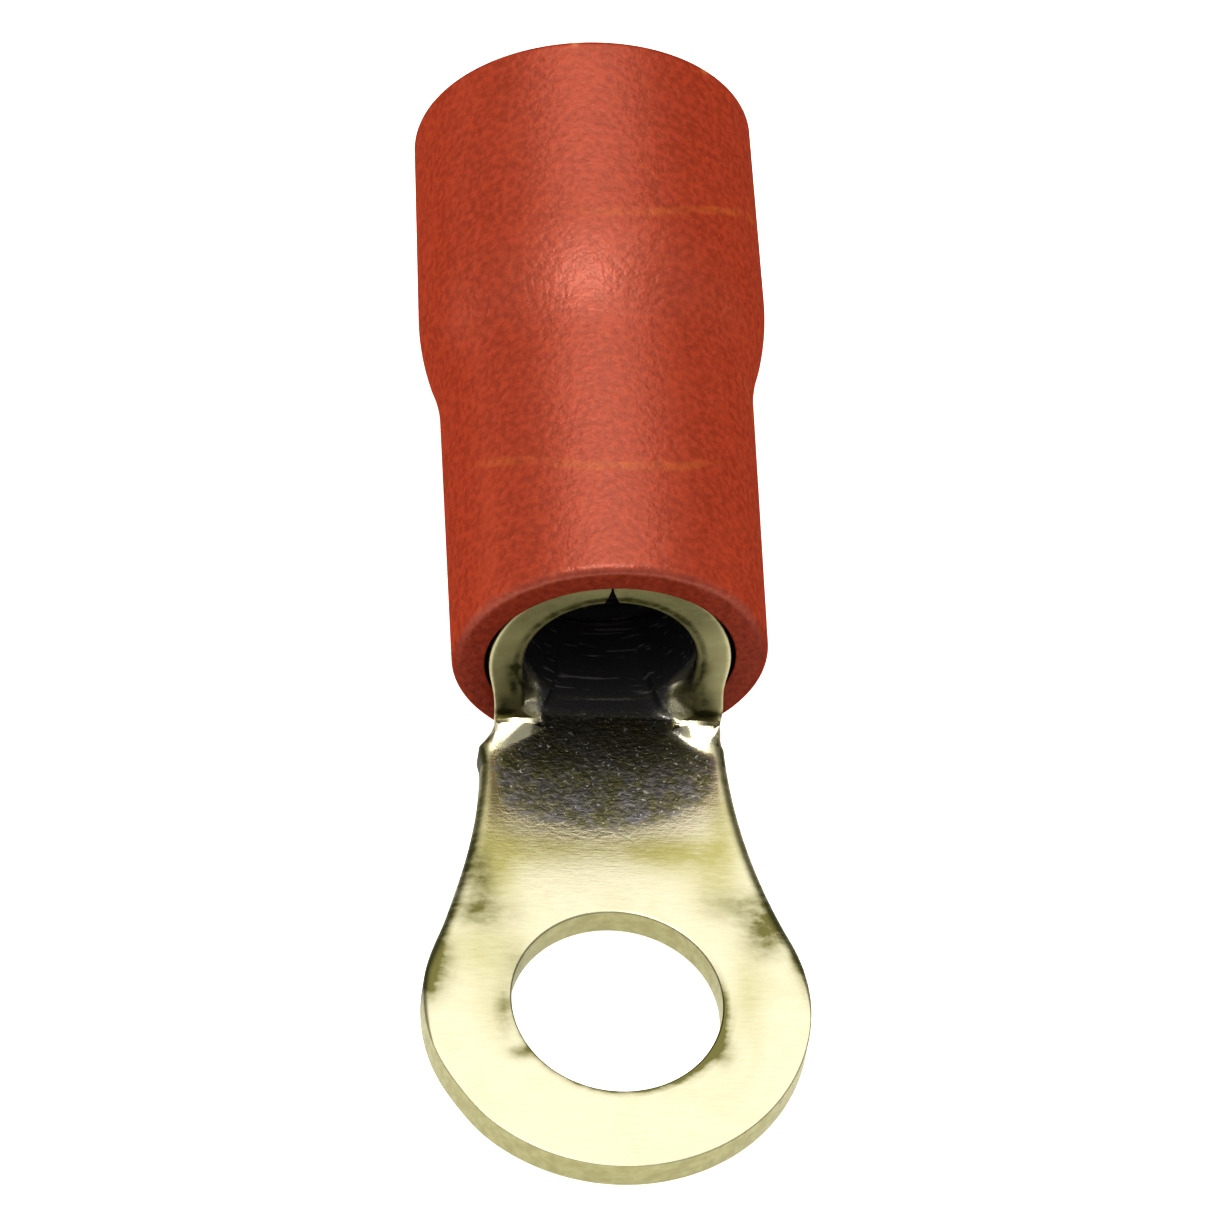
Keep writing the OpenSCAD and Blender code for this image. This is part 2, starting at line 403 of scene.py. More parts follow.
# %% [markdown]
# From the face, the inner skin runs back as the bore and the outer one as the barrel. Both
# start with the points that the face ends with, and take their radius from the sections
# above at every station, so nothing has to be matched afterwards.

# %% Bore and outside of the barrel
floor_angle = np.arctan2(np.linspace(-1, 1, floor_cols + 1) * (mouth_half - mouth_r), axis_z - sheet)
(left_in, left_out), (right_in, right_out) = wing_angles(-1), wing_angles(1)
bore_angle = np.concatenate([-left_in[::-1], floor_angle[1:-1], right_in])
flat_end = math.atan2(foot_half - foot_r, axis_z)
under = np.arctan2(np.linspace(-1, 1, plate_cols + 1) * (foot_half - foot_r), axis_z)
bend = np.linspace(foot_angle_out, flat_end, len(outer_in))
shell_angle = np.concatenate([-left_out[::-1], -bend[1:-1], under, bend[::-1][1:-1], right_out])
near = np.linspace(0, 0.6, 17)
far = np.linspace(0.6, barrel_end - foot_y, 78)[1:]
step = np.concatenate([near, far]) / (barrel_end - foot_y)


def run_back(first, angle, radius_at):
    rows = []
    for s in step:
        y = mix(first[:, 1], barrel_end, s)
        rows.append(around(angle, radius_at(angle, y), y))
    return np.array(rows)


bore_first = skin_points(bore_angle, inner_radius, edge_r)
shell_first = skin_points(shell_angle, outer_radius, edge_r)
bore_rows = run_back(bore_first, bore_angle, inner_radius)
shell_rows = run_back(shell_first, shell_angle, outer_radius)
bore_x, bore_y, bore_z = np.moveaxis(bore_rows, -1, 0)
corner = smooth((np.abs(bore_x) - 0.8) / 0.3) * (bore_z < axis_z)
in_bore = smooth((bore_y - foot_y - 0.3 * corner + 0.05) / 0.3)
loft_end = hump(bore_y, foot_y + 0.42, 0.03) * (1 - smooth((bore_z - 0.9) / 0.3))
in_bore = in_bore * (1 - 0.5 * loft_end)
body.grid(bore_rows, 0.0, in_bore)
body.grid(shell_rows, 0.0)
print(f"bore {len(bore_angle)} by {len(step)} points")

# %% [markdown]
# The seam's two walls close the slit between the skins, and one flat polygon with the
# outline of both skins closes the rear end of the barrel.

# %% Seam and rear end
seam_rows = {}
for side in (1, -1):
    start = faces[side][:, -1]
    angle = seam_angle(leg_w, side)
    rows = []
    for s in step:
        y = mix(start[:, 1], barrel_end, s)
        radius = mix(inner_radius(angle, y[0]), barrel_r, leg_w)
        rows.append(around(angle, radius, y) * [side, 1, 1])
    rows = np.array(rows)
    rows[0] = start
    rows[:, 0] = bore_rows[:, -1 if side > 0 else 0]
    rows[:, -1] = shell_rows[:, -1 if side > 0 else 0]
    seam_rows[side] = rows
    body.grid(rows, 1.0)
body.polygon(np.concatenate([bore_rows[-1], seam_rows[1][-1][1:-1],
                             shell_rows[-1][::-1], seam_rows[-1][-1][::-1][1:-1]]))
print(f"seam {len(leg_w)} points deep, rear end at {barrel_end:.2f}")

# %% [markdown]
# Between the flat tongue and the feet the sheet bends up over less than half a millimetre.
# The four strips of the tongue, top, underside and two edges, are simply blended into the
# strips that the barrel begins with, point for point.

# %% The curl, where the flat tongue becomes the floor of the barrel
wings = wing_cols + 1
floor_first = bore_first[wings - 1:wings + floor_cols]
top_last = np.concatenate([faces[-1][::-1, 0], floor_first[1:-1], faces[1][:, 0]])
bends = len(outer_in)
side_left = shell_first[wings - 1:wings - 1 + bends]
under_last = shell_first[wings + bends - 2:wings + bends - 1 + plate_cols]
side_right = shell_first[::-1][wings - 1:wings - 1 + bends]
ease = np.linspace(0, 1, 16)
parts = [(plate_row(curl_y, outer_in[0], sheet), top_last, 0.0),
         (plate_row(curl_y, outer_in[-1], 0.0), under_last, 0.0),
         (wall_row(curl_y, 1), side_right, wall_mark[None]),
         (wall_row(curl_y, -1), side_left, wall_mark[None])]
for flat_row, foot_row, mark in parts:
    body.grid([mix(flat_row, foot_row, e) for e in ease], mark)
print(f"curl from {curl_y:.2f} to {foot_y:.2f}")

# %% [markdown]
# Stamping is never quite even. This one's feet stand a little to the right of the middle.
# Where the wings were folded up, the sheet has bulged at both corners of the tongue, with a
# crease behind each bulge and a small ridge behind the crease. On the left, the wing swells
# a little at the curl and the ring is slightly flat in two places. Sculpting could do all
# this, but smooth pushes on the finished points are exact and can be tuned by one number
# each. They end before the sleeve, apart from the ridge, which fades out just inside it.

# %% Push the points as the press did
feet_shift, bulge_height, ridge_height = 0.08, 0.13, 0.075
wing_swell, shoulder_flat = 0.05, 0.035


def bulges(x, y, z):
    """1 on top of the bulges, which climb and widen up to the crease behind them."""
    crease_y = foot_y - 0.15
    climbing = np.clip((y - curl_y + 0.22) / 0.5, 0, 1) ** 1.5
    climbing = climbing * (1 - smooth((y - crease_y) / 0.06))
    reach_in = 0.95 + 0.5 * np.clip((crease_y - y) / 0.45, 0, 1)
    over = smooth((np.abs(x) - reach_in) / 0.3) * (1 - smooth((np.abs(x) - 1.7) / 0.2))
    return climbing * over * (z < 0.6)


def ridges(x, y, z):
    """1 along the small ridge at the inner corner of each foot."""
    ridge = hump(np.abs(x), 1.28, 0.27, 4) * hump(y, foot_y + 0.11, 0.17)
    return ridge * (1 - smooth((z - 0.6) / 0.3))


def pressed(points):
    x, y, z = points.T
    at_feet = smooth((y - curl_y) / 0.4) * (1 - smooth((y - foot_y - 0.04) / 0.14))
    at_feet = at_feet * (1 - smooth((z - 0.6) / 1.5))
    left_wing = hump(y, curl_y - 0.05, 0.15) * smooth((-x - 1.5) / 0.3) * (z < 0.6)
    left_shoulder = smooth((-x - 1.9) / 0.7) * (hump(y, 1.1, 0.6) + hump(y, -1.7, 0.6))
    aside = feet_shift * at_feet - wing_swell * left_wing + shoulder_flat * left_shoulder
    up = bulge_height * bulges(x, y, z) + ridge_height * ridges(x, y, z)
    return np.stack([x + aside, y, z + up * np.clip(z / sheet, 0, 1)], -1)


print(f"feet moved {feet_shift} to the right, corners raised {bulge_height}")

# %% [markdown]
# Some spots darken the tin. On the ring and the neck they are painted reflections of dark
# surroundings in its slightly wavy faces, beside the hole they are painted shade, and on the
# horseshoe's legs they are dark spots. Other spots make the tin warmer in colour. These
# could be painted by hand onto the mesh. Here each place is a soft spot that is added up at
# every point instead, so it stays put when the mesh gets finer. A spot is its middle, its
# two half widths and how strong it is. The finish breaks the spots up later.

# %% Soft spots on the ring, the tongue and the horseshoe
# Dark spots that are painted reflections of dark surroundings, and painted shade beside the hole.
painted_shade_spots = [
    # right shoulder of the ring
    (2.3, 1.3, 0.3, 0.4, 1.1), (1.85, 1.75, 0.5, 0.25, 0.5),
    (2.35, 1.5, 0.5, 0.55, 0.4), (2.85, 0.75, 0.15, 0.3, 0.9),
    # left side of the ring, and the neck behind it
    (-2.05, 1.55, 0.5, 0.25, 0.8), (-2.72, 0.7, 0.2, 0.5, 1.4),
    (-2.85, 0.35, 0.1, 0.35, 1.2), (-2.0, 2.2, 0.22, 0.6, 1.1),
    # beside the hole
    (-1.72, -0.2, 0.12, 0.4, 0.9), (-1.47, -0.93, 0.2, 0.12, 1.0),
    (-1.5, 0.6, 0.22, 0.4, 0.45), (1.55, -0.85, 0.15, 0.25, 0.9)]
warm_spots = [
    # across the tongue behind the hole
    (0.0, 2.75, 1.8, 0.25, 0.5), (0.9, 2.65, 0.6, 0.35, 0.7), (1.6, 2.2, 0.4, 0.6, 0.6),
    (-1.1, 2.7, 0.6, 0.4, 0.4), (-1.75, 2.4, 0.35, 0.7, 0.8),
    # both edges of the neck
    (-1.75, 3.6, 0.3, 0.8, 0.6), (1.75, 3.3, 0.25, 0.7, 0.6),
    # both sides of the hole
    (-2.0, 0.9, 0.7, 0.5, 0.45), (-1.9, -0.1, 0.3, 0.6, 0.35), (2.0, 0.3, 0.25, 0.8, 0.4)]
face_spots = [
    # left leg of the horseshoe, from its top down
    (-1.42, 1.72, 0.12, 0.05, 1.6), (-1.5, 1.55, 0.08, 0.3, 0.8), (-1.45, 1.25, 0.06, 0.2, 1.3),
    (-1.6, 0.93, 0.08, 0.14, 1.3), (-1.45, 0.9, 0.14, 0.16, 0.8), (-1.6, 0.68, 0.15, 0.09, 2.0),
    # right leg
    (1.45, 1.75, 0.1, 0.15, 1.0), (1.42, 1.25, 0.06, 0.3, 0.9), (1.5, 1.0, 0.12, 0.2, 0.7),
    (1.5, 0.7, 0.25, 0.1, 1.8), (1.8, 0.68, 0.07, 0.1, 1.6)]


def spots(x, y, places):
    return sum(amount * np.exp(-((x - at_x) / half_x) ** 2 - ((y - at_y) / half_y) ** 2)
               for at_x, at_y, half_x, half_y, amount in places)


print(f"{len(painted_shade_spots)} dull, {len(warm_spots)} warm and {len(face_spots)} face spots")

# %% [markdown]
# Other marks follow the form. Along the edges of the neck and the ring's rear half a dark
# band is painted, a reflection of the dark surroundings; beside the hole a dark crescent is
# painted shade for its rolled rim; the horseshoe is painted darker on top and next to the
# bore, as shade in the sleeve's mouth; and the corner walls beside the sleeve are painted
# dark in place of the sleeve mirrored in them. The tongue is also dark in front of the
# mouth. On the real part that seems to be mostly the mouth and the sleeve, mirrored in the
# tin. Here the mirror image alone comes out too weak, so a painted reflection is added to
# it: a dark patch in the colour that is nearly as wide as the tongue, narrows toward the
# mouth and ends in front in a shallow arc. Unlike a mirror image, it shows from every side.

# %% Marks that follow the form
# Painted reflection: a dark band along the cut edges of the neck and the ring's rear half, for the dark
# surroundings that they mirror.
def painted_edge_reflection(x, y):
    to_ring = ring_r - np.hypot(x, y)
    to_flare = np.hypot(np.abs(x) - flare_x, y - flare_y) - flare_r
    from_edge = np.where(y < touch_y, to_ring, to_flare)
    along = smooth((y + 0.3) / 1.2) * (1 - smooth((y - curl_y - 0.1) / 0.3))
    return 0.95 * along * (1 - smooth((from_edge - 0.02) / 0.2))


# Painted shade: a dark crescent along the right and front of the hole's rim, where its rolled edge is in
# shade.
def painted_hole_shade(x, y, z):
    from_hole, bearing = np.hypot(x, y) - hole_r, np.arctan2(y, x)
    on_right, in_front = hump(bearing, -0.5, 0.6), hump(bearing, -1.7, 1.0)
    crescent = hump(from_hole, 0.02, mix(0.05, 0.1, on_right)) * (z > sheet - 0.02)
    return (2.8 * on_right + 1.2 * in_front) * crescent


# Painted shade on the horseshoe: darker on top, inside the sleeve's mouth, and in a line next to the
# bore. The face spots are added to it.
def horseshoe_shade_and_spots(x, z):
    into_face = np.hypot(x, z - axis_z) - bore_r
    return 0.6 * smooth((z - 2.3) / 0.6) + hump(into_face, 0.11, 0.04) + spots(x, z, face_spots)


# Painted reflection: the mouth and the sleeve mirrored on the tongue, as a dark patch in the colour.
def painted_mouth_reflection(x, y, z):
    half = mix(1.66, 1.12, smooth((y - 4.35) / 0.45)) - 0.14 * smooth((y - 4.9) / 0.2)
    reflection_colour = smooth((y - 2.7 - 0.22 * (x + 0.15) ** 2) / 0.75) + 0.5 * smooth((y - 3.9) / 0.6)
    reflection_colour = reflection_colour * (1 - smooth((np.abs(x) - half + 0.15) / 0.3))
    reflection_colour = reflection_colour * (1 - smooth((y - foot_y - 0.4) / 0.4))
    return reflection_colour * (z > sheet - 0.05) * (z < 1.2)


def painted_shade_and_warmth(points):
    """Painted shade and spots from 0 to 3, the mouth's painted reflection and the warmth, per point."""
    x, y, z = points.T
    darkening = painted_edge_reflection(x, y) + spots(x, y, painted_shade_spots) + painted_hole_shade(x, y, z)
    # Painted shade: the corner walls beside the sleeve are made dark in place of the red sleeve mirrored
    # in them.
    shaded_corner_walls = (y > 4.3) & (y < foot_y) & (z < sheet - 0.03) & (np.abs(x) > 1.4)
    darkening = np.where(shaded_corner_walls, 2.0, darkening)
    darkening = np.where(z < 0.57, darkening, horseshoe_shade_and_spots(x, z)) * (y < sleeve_start + 0.4)
    warm = np.clip(spots(x, y, warm_spots), 0, 1) * (y < curl_y)
    return {"tarnish": np.clip(darkening, 0, 3), "stain": painted_mouth_reflection(x, y, z), "warm": warm}


sample = painted_shade_and_warmth(np.array([[0.0, foot_y - 0.2, sheet]]))
print("in front of the mouth:", {label: round(float(v[0]), 2) for label, v in sample.items()})

# %% [markdown]
# Now the patches are marked, pushed and welded into one closed skin. The mesh is hung on
# the body that it rides on, and the piece of the solid that it stands for is hidden.

# %% The terminal
terminal = body.build("terminal", pressed, painted_shade_and_warmth)
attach(terminal, "root")
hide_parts("terminal_body")

# %% [markdown]
# The sleeve is moulded, so it is one section turned about the wire's axis: a thin front
# part over the barrel, a rounded shoulder, and a wider entry for the wire's insulation
# with a funnel inside it. A curve with a screw modifier would do, but writing the section
# as arcs and straights gives control over where the points go, and the round edges get the
# most. A point of the section is its distance from the wire's axis and its station.

# %% The sleeve's main sizes
sleeve_bore = barrel_r + fit
front_r, shoulder_r = sleeve_bore + front_wall, entry_r + rear_wall
tail_r = shoulder_r - rear_draft
step_from, step_to = sleeve_start + step_at, sleeve_start + step_at + step_len
stop_y = barrel_end + fit
rise = shoulder_r - front_r
step_r = ((step_to - step_from) ** 2 + rise ** 2) / (2 * rise)
print(f"sleeve {2 * front_r:.2f} across in front, {2 * shoulder_r:.2f} at the shoulder, "
      f"shoulder arc radius {step_r:.2f}")


def bow(centre, radius, start, end, steps):
    turn = np.radians(np.linspace(start, end, steps))
    return [(centre[0] + radius * math.cos(a), centre[1] + radius * math.sin(a)) for a in turn]


def straight(a, b, steps):
    return [tuple(mix(np.array(a), np.array(b), s)) for s in np.linspace(0, 1, steps)]


# %% Section from the stop face forward, round the mouth
bell_r = 0.03
belled, front_y = sleeve_bore + 2 * bell_r, sleeve_start
section = []
section += straight((bore_r + 0.06, stop_y), (sleeve_bore - 0.02, stop_y), 4)
section += straight((sleeve_bore, stop_y - 0.02), (sleeve_bore, front_y + 0.5), 12)
section += straight((sleeve_bore + 0.01, front_y + 0.3), (belled - bell_r, front_y + 2 * bell_r), 4)
section += bow((belled, front_y + bell_r), bell_r, 180, 270, 5)
section += straight((belled + 0.02, front_y), (front_r - front_edge - 0.02, front_y), 8)
section += bow((front_r - front_edge, front_y + front_edge), front_edge, -90, 0, 9)
section += straight((front_r, front_y + 0.2), (front_r, step_from - 0.5), 30)
print(f"mouth belled from {2 * sleeve_bore:.2f} to {2 * belled:.2f}")

# %% [markdown]
# The step begins softly and ends in a rounded shoulder. The shoulder is an arc, and what
# leads up to it is a curve pulled toward the corner where the straight and the arc would
# otherwise meet.

# %% Section over the step and round the rear end
arc_from = math.degrees(math.asin((step_to - step_from) / step_r))
shoulder = bow((shoulder_r - step_r, step_to), step_r, 2 / 3 * -arc_from, 0, 14)
corner_at, ease_from = np.array((front_r, step_from)), np.array((front_r, step_from - 0.45))
for t in np.linspace(0, 1, 14)[:-1]:
    toward, onward = mix(ease_from, corner_at, t), mix(corner_at, np.array(shoulder[0]), t)
    section.append(tuple(mix(toward, onward, t)))
section += shoulder
section += straight((shoulder_r - 0.001, step_to + 0.1), (tail_r, sleeve_end - tail_edge - 0.05), 24)
section += bow((tail_r - tail_edge, sleeve_end - tail_edge), tail_edge, 0, 90, 7)
section += straight((tail_r - tail_edge - 0.02, sleeve_end), (entry_r + entry_edge + 0.02, sleeve_end), 5)
section += bow((entry_r + entry_edge, sleeve_end - entry_edge), entry_edge, 90, 180, 6)
section += straight((entry_r, sleeve_end - 0.12), (entry_r, stop_y + funnel_len + 0.02), 20)
section += straight((entry_r - 0.01, stop_y + funnel_len - 0.015), (bore_r + 0.065, stop_y + 0.03), 10)
section = np.array(section)
print(f"section of {len(section)} points")

# %% [markdown]
# The section becomes a grid of points, one copy of it for each step round the axis. A mark
# for shade goes with it: full in the front bore, and faint on the front face.

# %% Turn the section
turns = 240
loop = np.concatenate([section, section[:1]])
from_wire, station = loop.T
turned = [np.stack([from_wire * math.sin(a), station, axis_z - from_wire * math.cos(a)], -1)
          for a in np.linspace(0, 2 * np.pi, turns + 1)]
front_bore = 1.0 * (from_wire < sleeve_bore + 0.04)
shaded_face = 0.38 * smooth(1 - (station - sleeve_start) / 0.12)
sleeve_skin = Skin()
sleeve_skin.grid(turned, 0.0, np.maximum(front_bore, shaded_face))
sleeve = sleeve_skin.build("sleeve")
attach(sleeve, "root")
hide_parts("insulation_sleeve")

# %% [markdown]
# Nodes can be placed and wired by hand, but long sums of them are hard to read. So one small
# class wraps a socket, and an expression with it adds the Math nodes behind each operator.
# The reflected forms let a number stand in front, as in 1 - mask.

# %% Shader maths as expressions
class Sum:
    """A socket that can be used in arithmetic."""

    def __init__(self, maker, socket):
        self.maker, self.socket = maker, socket

    def _op(self, kind, a, b=None):
        values = {0: a} if b is None else {0: a, 1: b}
        return self.maker.node("ShaderNodeMath", {"operation": kind}, values)

    def __add__(self, other):
        return self._op("ADD", self, other)

    def __radd__(self, other):
        return self._op("ADD", other, self)

    def __sub__(self, other):
        return self._op("SUBTRACT", self, other)

    def __rsub__(self, other):
        return self._op("SUBTRACT", other, self)

    def __mul__(self, other):
        return self._op("MULTIPLY", self, other)

    def __rmul__(self, other):
        return self._op("MULTIPLY", other, self)

    def __pow__(self, other):
        return self._op("POWER", self, other)

    def abs(self):
        return self._op("ABSOLUTE", self)

    def least(self, other):
        return self._op("MINIMUM", self, other)

    def most(self, other):
        return self._op("MAXIMUM", self, other)

    def ramp(self, low, high, out_low=0.0, out_high=1.0):
        """Eases from out_low to out_high while the value goes from low to high."""
        return self.maker.node("ShaderNodeMapRange", {"interpolation_type": "SMOOTHSTEP"},
                               {0: self, 1: low, 2: high, 3: out_low, 4: out_high})

    def near(self, middle, full, none):
        """1 within full of the middle, eased to 0 at none from it."""
        return (self - middle).abs().ramp(full, none, 1.0, 0.0)


print("a socket can:", [name for name in vars(Sum) if not name.startswith("_")])

# %% [markdown]
# One class holds a material while it is made. All other nodes come from its method node,
# which sets a node's settings first and then its sockets, by values or by links. Colours
# are mixed by a Mix node, because a Math node would turn them grey.

# %% A material under construction
class Finish:
    """A material with its Principled shader, and what adds nodes to it."""

    def __init__(self, name):
        self.material = bpy.data.materials.new(name)
        self.material.use_nodes = True
        self.tree = self.material.node_tree
        self.shader = self.tree.nodes["Principled BSDF"]

    def plug(self, socket, value):
        if isinstance(value, Sum):
            self.tree.links.new(value.socket, socket)
        elif isinstance(value, tuple) and len(value) == 3 and socket.type == "RGBA":
            socket.default_value = (*value, 1.0)
        else:
            socket.default_value = value

    def node(self, kind, settings=None, values=None, output=0):
        node = self.tree.nodes.new(kind)
        for key, value in (settings or {}).items():
            setattr(node, key, value)
        for key, value in (values or {}).items():
            self.plug(node.inputs[key], value)
        return Sum(self, node.outputs[output])

    def set(self, values):
        for key, value in values.items():
            self.plug(self.shader.inputs[key], value)

    def mark(self, label):
        """A mark that the mesh carries at every point."""
        return self.node("ShaderNodeAttribute", {"attribute_name": label}, None, "Fac")

    def place(self, scale=(1, 1, 1), turn=(0, 0, 0)):
        """The point being shaded, in millimetres, stretched and turned."""
        spot = self.node("ShaderNodeTexCoord", output="Object")
        return self.node("ShaderNodeMapping", {"vector_type": "POINT"},
                         {"Vector": spot, "Scale": tuple(s / MM for s in scale), "Rotation": turn})

    def noise(self, per_mm, detail=2.0, rough=0.5, distort=0.0, turn=(0, 0, 0)):
        """Noise with that many waves to the millimetre along x, y and z."""
        return self.node("ShaderNodeTexNoise", {"noise_dimensions": "3D"},
                         {"Vector": self.place(per_mm, turn), "Scale": 1.0, "Detail": detail,
                          "Roughness": rough, "Distortion": distort}, "Fac")

    def blend(self, share, a, b):
        return self.node("ShaderNodeMix", {"data_type": "RGBA", "clamp_factor": True},
                         {0: share, 6: a, 7: b}, 2)

    def apart(self, vector):
        return [self.node("ShaderNodeSeparateXYZ", None, {0: vector}, i) for i in range(3)]

    def bump(self, strength, depth_mm, height):
        return self.node("ShaderNodeBump", None,
                         {"Strength": strength, "Distance": depth_mm * MM, "Height": height})


print("a finish can:", [name for name in vars(Finish) if not name.startswith("_")])

# %% [markdown]
# Tin over copper is a warm, pale metal. Rolling leaves fine lines along the sheet, so one
# noise is stretched across it. Others, coarser and finer, break up everything else. The
# marks on the mesh say where the metal is sheared, where shade, dark reflections and dark
# spots are painted on it, where the mouth's reflection is painted, and where it is warmer.

# %% Noises and marks for the tin
tin = Finish("tinned_copper")
cut, inside, tarnish, stain, warm = (tin.mark(label) for label in
                                     ("cut_edge", "inside", "tarnish", "stain", "warm"))
lines = tin.noise((4, 32, 12), 3.0, 0.6)
speck = tin.noise((10, 13, 12), 2.0, 0.6, 0.4)
mottle = tin.noise((4, 9, 6), 3.0, 0.6)
cloud = tin.noise((0.8, 0.8, 0.8), 3.0, 0.55, 0.6)
patch = tin.noise((3.2, 4.5, 3), 3.0, 0.65, 0.3)
spark = tin.noise((16, 16, 14), 1.0).ramp(0.66, 0.74)
scratch = tin.noise((1.2, 16, 5), turn=(0.0, 0.0, 0.6)).ramp(0.60, 0.68)
print("noises and marks:", len(tin.tree.nodes), "nodes")

# %% Colour of the rolled faces
clean, lined = (0.525, 0.495, 0.365), (0.455, 0.42, 0.275)
# The darkest tin is the colour of painted shade, dark reflections and dark spots.
warm_tin, darkest_tin = (0.34, 0.315, 0.14), (0.15, 0.14, 0.055)
uneven = patch.ramp(0.25, 0.75) * 0.5 + mottle.ramp(0.25, 0.75) * 0.35 + 0.3
darkening = (tarnish * uneven).least(1.0)
warm_share = (warm * (lines * 0.8 + mottle * 0.7 + 0.25) + (cloud - 0.5).most(0.0) * 0.6).least(1.0)
bright = tin.blend(lines.ramp(0.45, 0.7) * 0.2, clean, lined)
bright = tin.blend(warm_share, bright, warm_tin)
bright = tin.blend(darkening, bright, darkest_tin)
print("clean tin:", clean, "where it is dullest:", darkest_tin)

# %% [markdown]
# The patch in front of the mouth is a painted reflection: it dims the metal, in patches of
# olive and violet. Its rim is broken up by two noises, it is darkest near the mouth, and a
# few bright specks are painted in it.

# %% The painted reflection in front of the mouth
pale_olive, pale_violet = (0.24, 0.23, 0.11), (0.27, 0.26, 0.27)
deep_olive, deep_violet = (0.11, 0.105, 0.045), (0.13, 0.125, 0.13)
by_mouth, bright_speck = (0.05, 0.048, 0.025), (0.70, 0.70, 0.68)
# The dark patch in front of the mouth is a painted reflection, with a few bright specks painted in it.
reflection_share = (stain + (speck - 0.5) * 1.1 + (mottle - 0.5) * 0.7).ramp(0.25, 0.8)
violet, thin = patch.ramp(0.35, 0.65), speck.ramp(0.4, 0.65)
pale_reflection = tin.blend(violet, pale_olive, pale_violet)
reflection_colour = tin.blend(thin, tin.blend(violet, deep_olive, deep_violet), pale_reflection)
reflection_colour = tin.blend((stain - 1.0).most(0.0) * 1.2, reflection_colour, by_mouth)
reflection_colour = tin.blend(spark * 0.8, reflection_colour, bright_speck)
bright = tin.blend(reflection_share * 0.87, bright, reflection_colour)
print("oil film over", clean, "from", pale_olive, "to", by_mouth)

# %% [markdown]
# A sheared edge is coarser and darker than the rolled faces, because the tin is dragged over
# it. Inside the barrel there is little but shade and a few fine scratches, so the bore is
# given a dark, barely metallic colour. The real bore is tinned like the rest: this is shade
# held in the finish, and it stays dark in any light.

# %% Sheared edges, the bore, and the whole finish
sheared_dark, sheared_light, darkest_wall = (0.30, 0.28, 0.15), (0.37, 0.35, 0.20), (0.05, 0.05, 0.02)
bore_dark, bore_scratched = (0.055, 0.053, 0.056), (0.17, 0.165, 0.16)
sheared = tin.blend(mottle.ramp(0.3, 0.7), sheared_dark, sheared_light)
# Where shade and dark reflections are painted, the sheared walls turn nearly black.
sheared = tin.blend(tarnish * (mottle.ramp(0.2, 0.8) * 0.7 + 0.35), sheared, darkest_wall)
hollow = tin.blend(scratch, bore_dark, bore_scratched)
grain = tin.bump(0.5, 0.012, lines * 0.2 + speck * (0.3 + stain * 0.9))
tin.set({"Base Color": tin.blend(inside, tin.blend(cut, bright, sheared), hollow),
         "Metallic": 1.0 - inside * 0.8,
         "Roughness": cut * 0.22 + lines * 0.08 + darkening * 0.1 + reflection_share * 0.12 + 0.2,
         "Specular IOR Level": 0.1, "Normal": grain})
terminal.data.materials.append(tin.material)
print("tinned copper:", len(tin.tree.nodes), "nodes")

# %% [markdown]
# The sleeve is satin red PVC with a fine mottled grain from the mould, like the skin of a
# fruit. It is mottled in colour as well as in height, because the red is not mixed evenly.

# %% Red PVC: colour and grain
pvc = Finish("red_pvc")
inside = pvc.mark("inside")
peel = pvc.noise((9, 9, 9))
fine = pvc.noise((22, 22, 22))
cloud = pvc.noise((1.3, 0.9, 1.3), 3.0)
deep_red, light_red, cloudy_red = (0.265, 0.042, 0.017), (0.365, 0.062, 0.025), (0.41, 0.075, 0.030)
red = pvc.blend(peel.ramp(0.3, 0.7), deep_red, light_red)
red = pvc.blend(cloud.ramp(0.5, 0.8) * 0.35, red, cloudy_red)
grain = pvc.bump(0.8, 0.03, peel * 0.8 + fine * 0.2)
print("red from", deep_red, "to", cloudy_red)

# %% [markdown]
# Rubbing against other terminals in the box leaves it faintly scuffed: two pale bands that
# bow forward across the top, a rub on the right just in front of the step, and two nicks in
# the edge at the rear end. All of them are on the upper half.

# %% Red PVC: scuffs and nicks
scuffed, nicked = (0.46, 0.16, 0.035), (0.62, 0.24, 0.08)
x, y, z = pvc.apart(pvc.place())
upper_half = z.ramp(axis_z, axis_z + 0.5)
across_top = y - x * x * 0.185 + (cloud - 0.5) * 0.25
front_band = across_top.near(7.25, 0.03, 0.12) * x.ramp(-2.3, -1.6) * x.ramp(1.3, 1.7, 1.0, 0.0)
rear_band = across_top.near(11.8, 0.03, 0.11) * x.ramp(-1.0, 0.2)
rub = x.near(2.27, 0.05, 0.35) * y.near(9.6, 0.1, 0.45)
scuff = front_band.most(rear_band).most(rub) * upper_half * cloud.ramp(0.35, 0.6)
from_axis = (x * x + (z - axis_z) * (z - axis_z)) ** 0.5
nick = x.near(-0.36, 0.01, 0.09).most(x.near(1.71, 0.01, 0.09)) * upper_half
nick = nick * y.ramp(sleeve_end - 0.2, sleeve_end - 0.05)
nick = nick * from_axis.ramp(tail_r - 0.12, tail_r - 0.04)
red = pvc.blend(scuff * (peel * 0.55), red, scuffed)
red = pvc.blend(nick * 0.6, red, nicked)
print("scuffs and nicks:", len(pvc.tree.nodes), "nodes so far")

# %% [markdown]
# Two shaders are mixed for the satin look: a matt one for the body colour, and a soft gloss
# that is tinted red, as it is on this kind of plastic. The gloss counts most where the
# surface faces the viewer, or the edges would mirror the pale floor and turn pink. The
# front bore, and faintly the front face, hold some shade in the finish, as the barrel does.

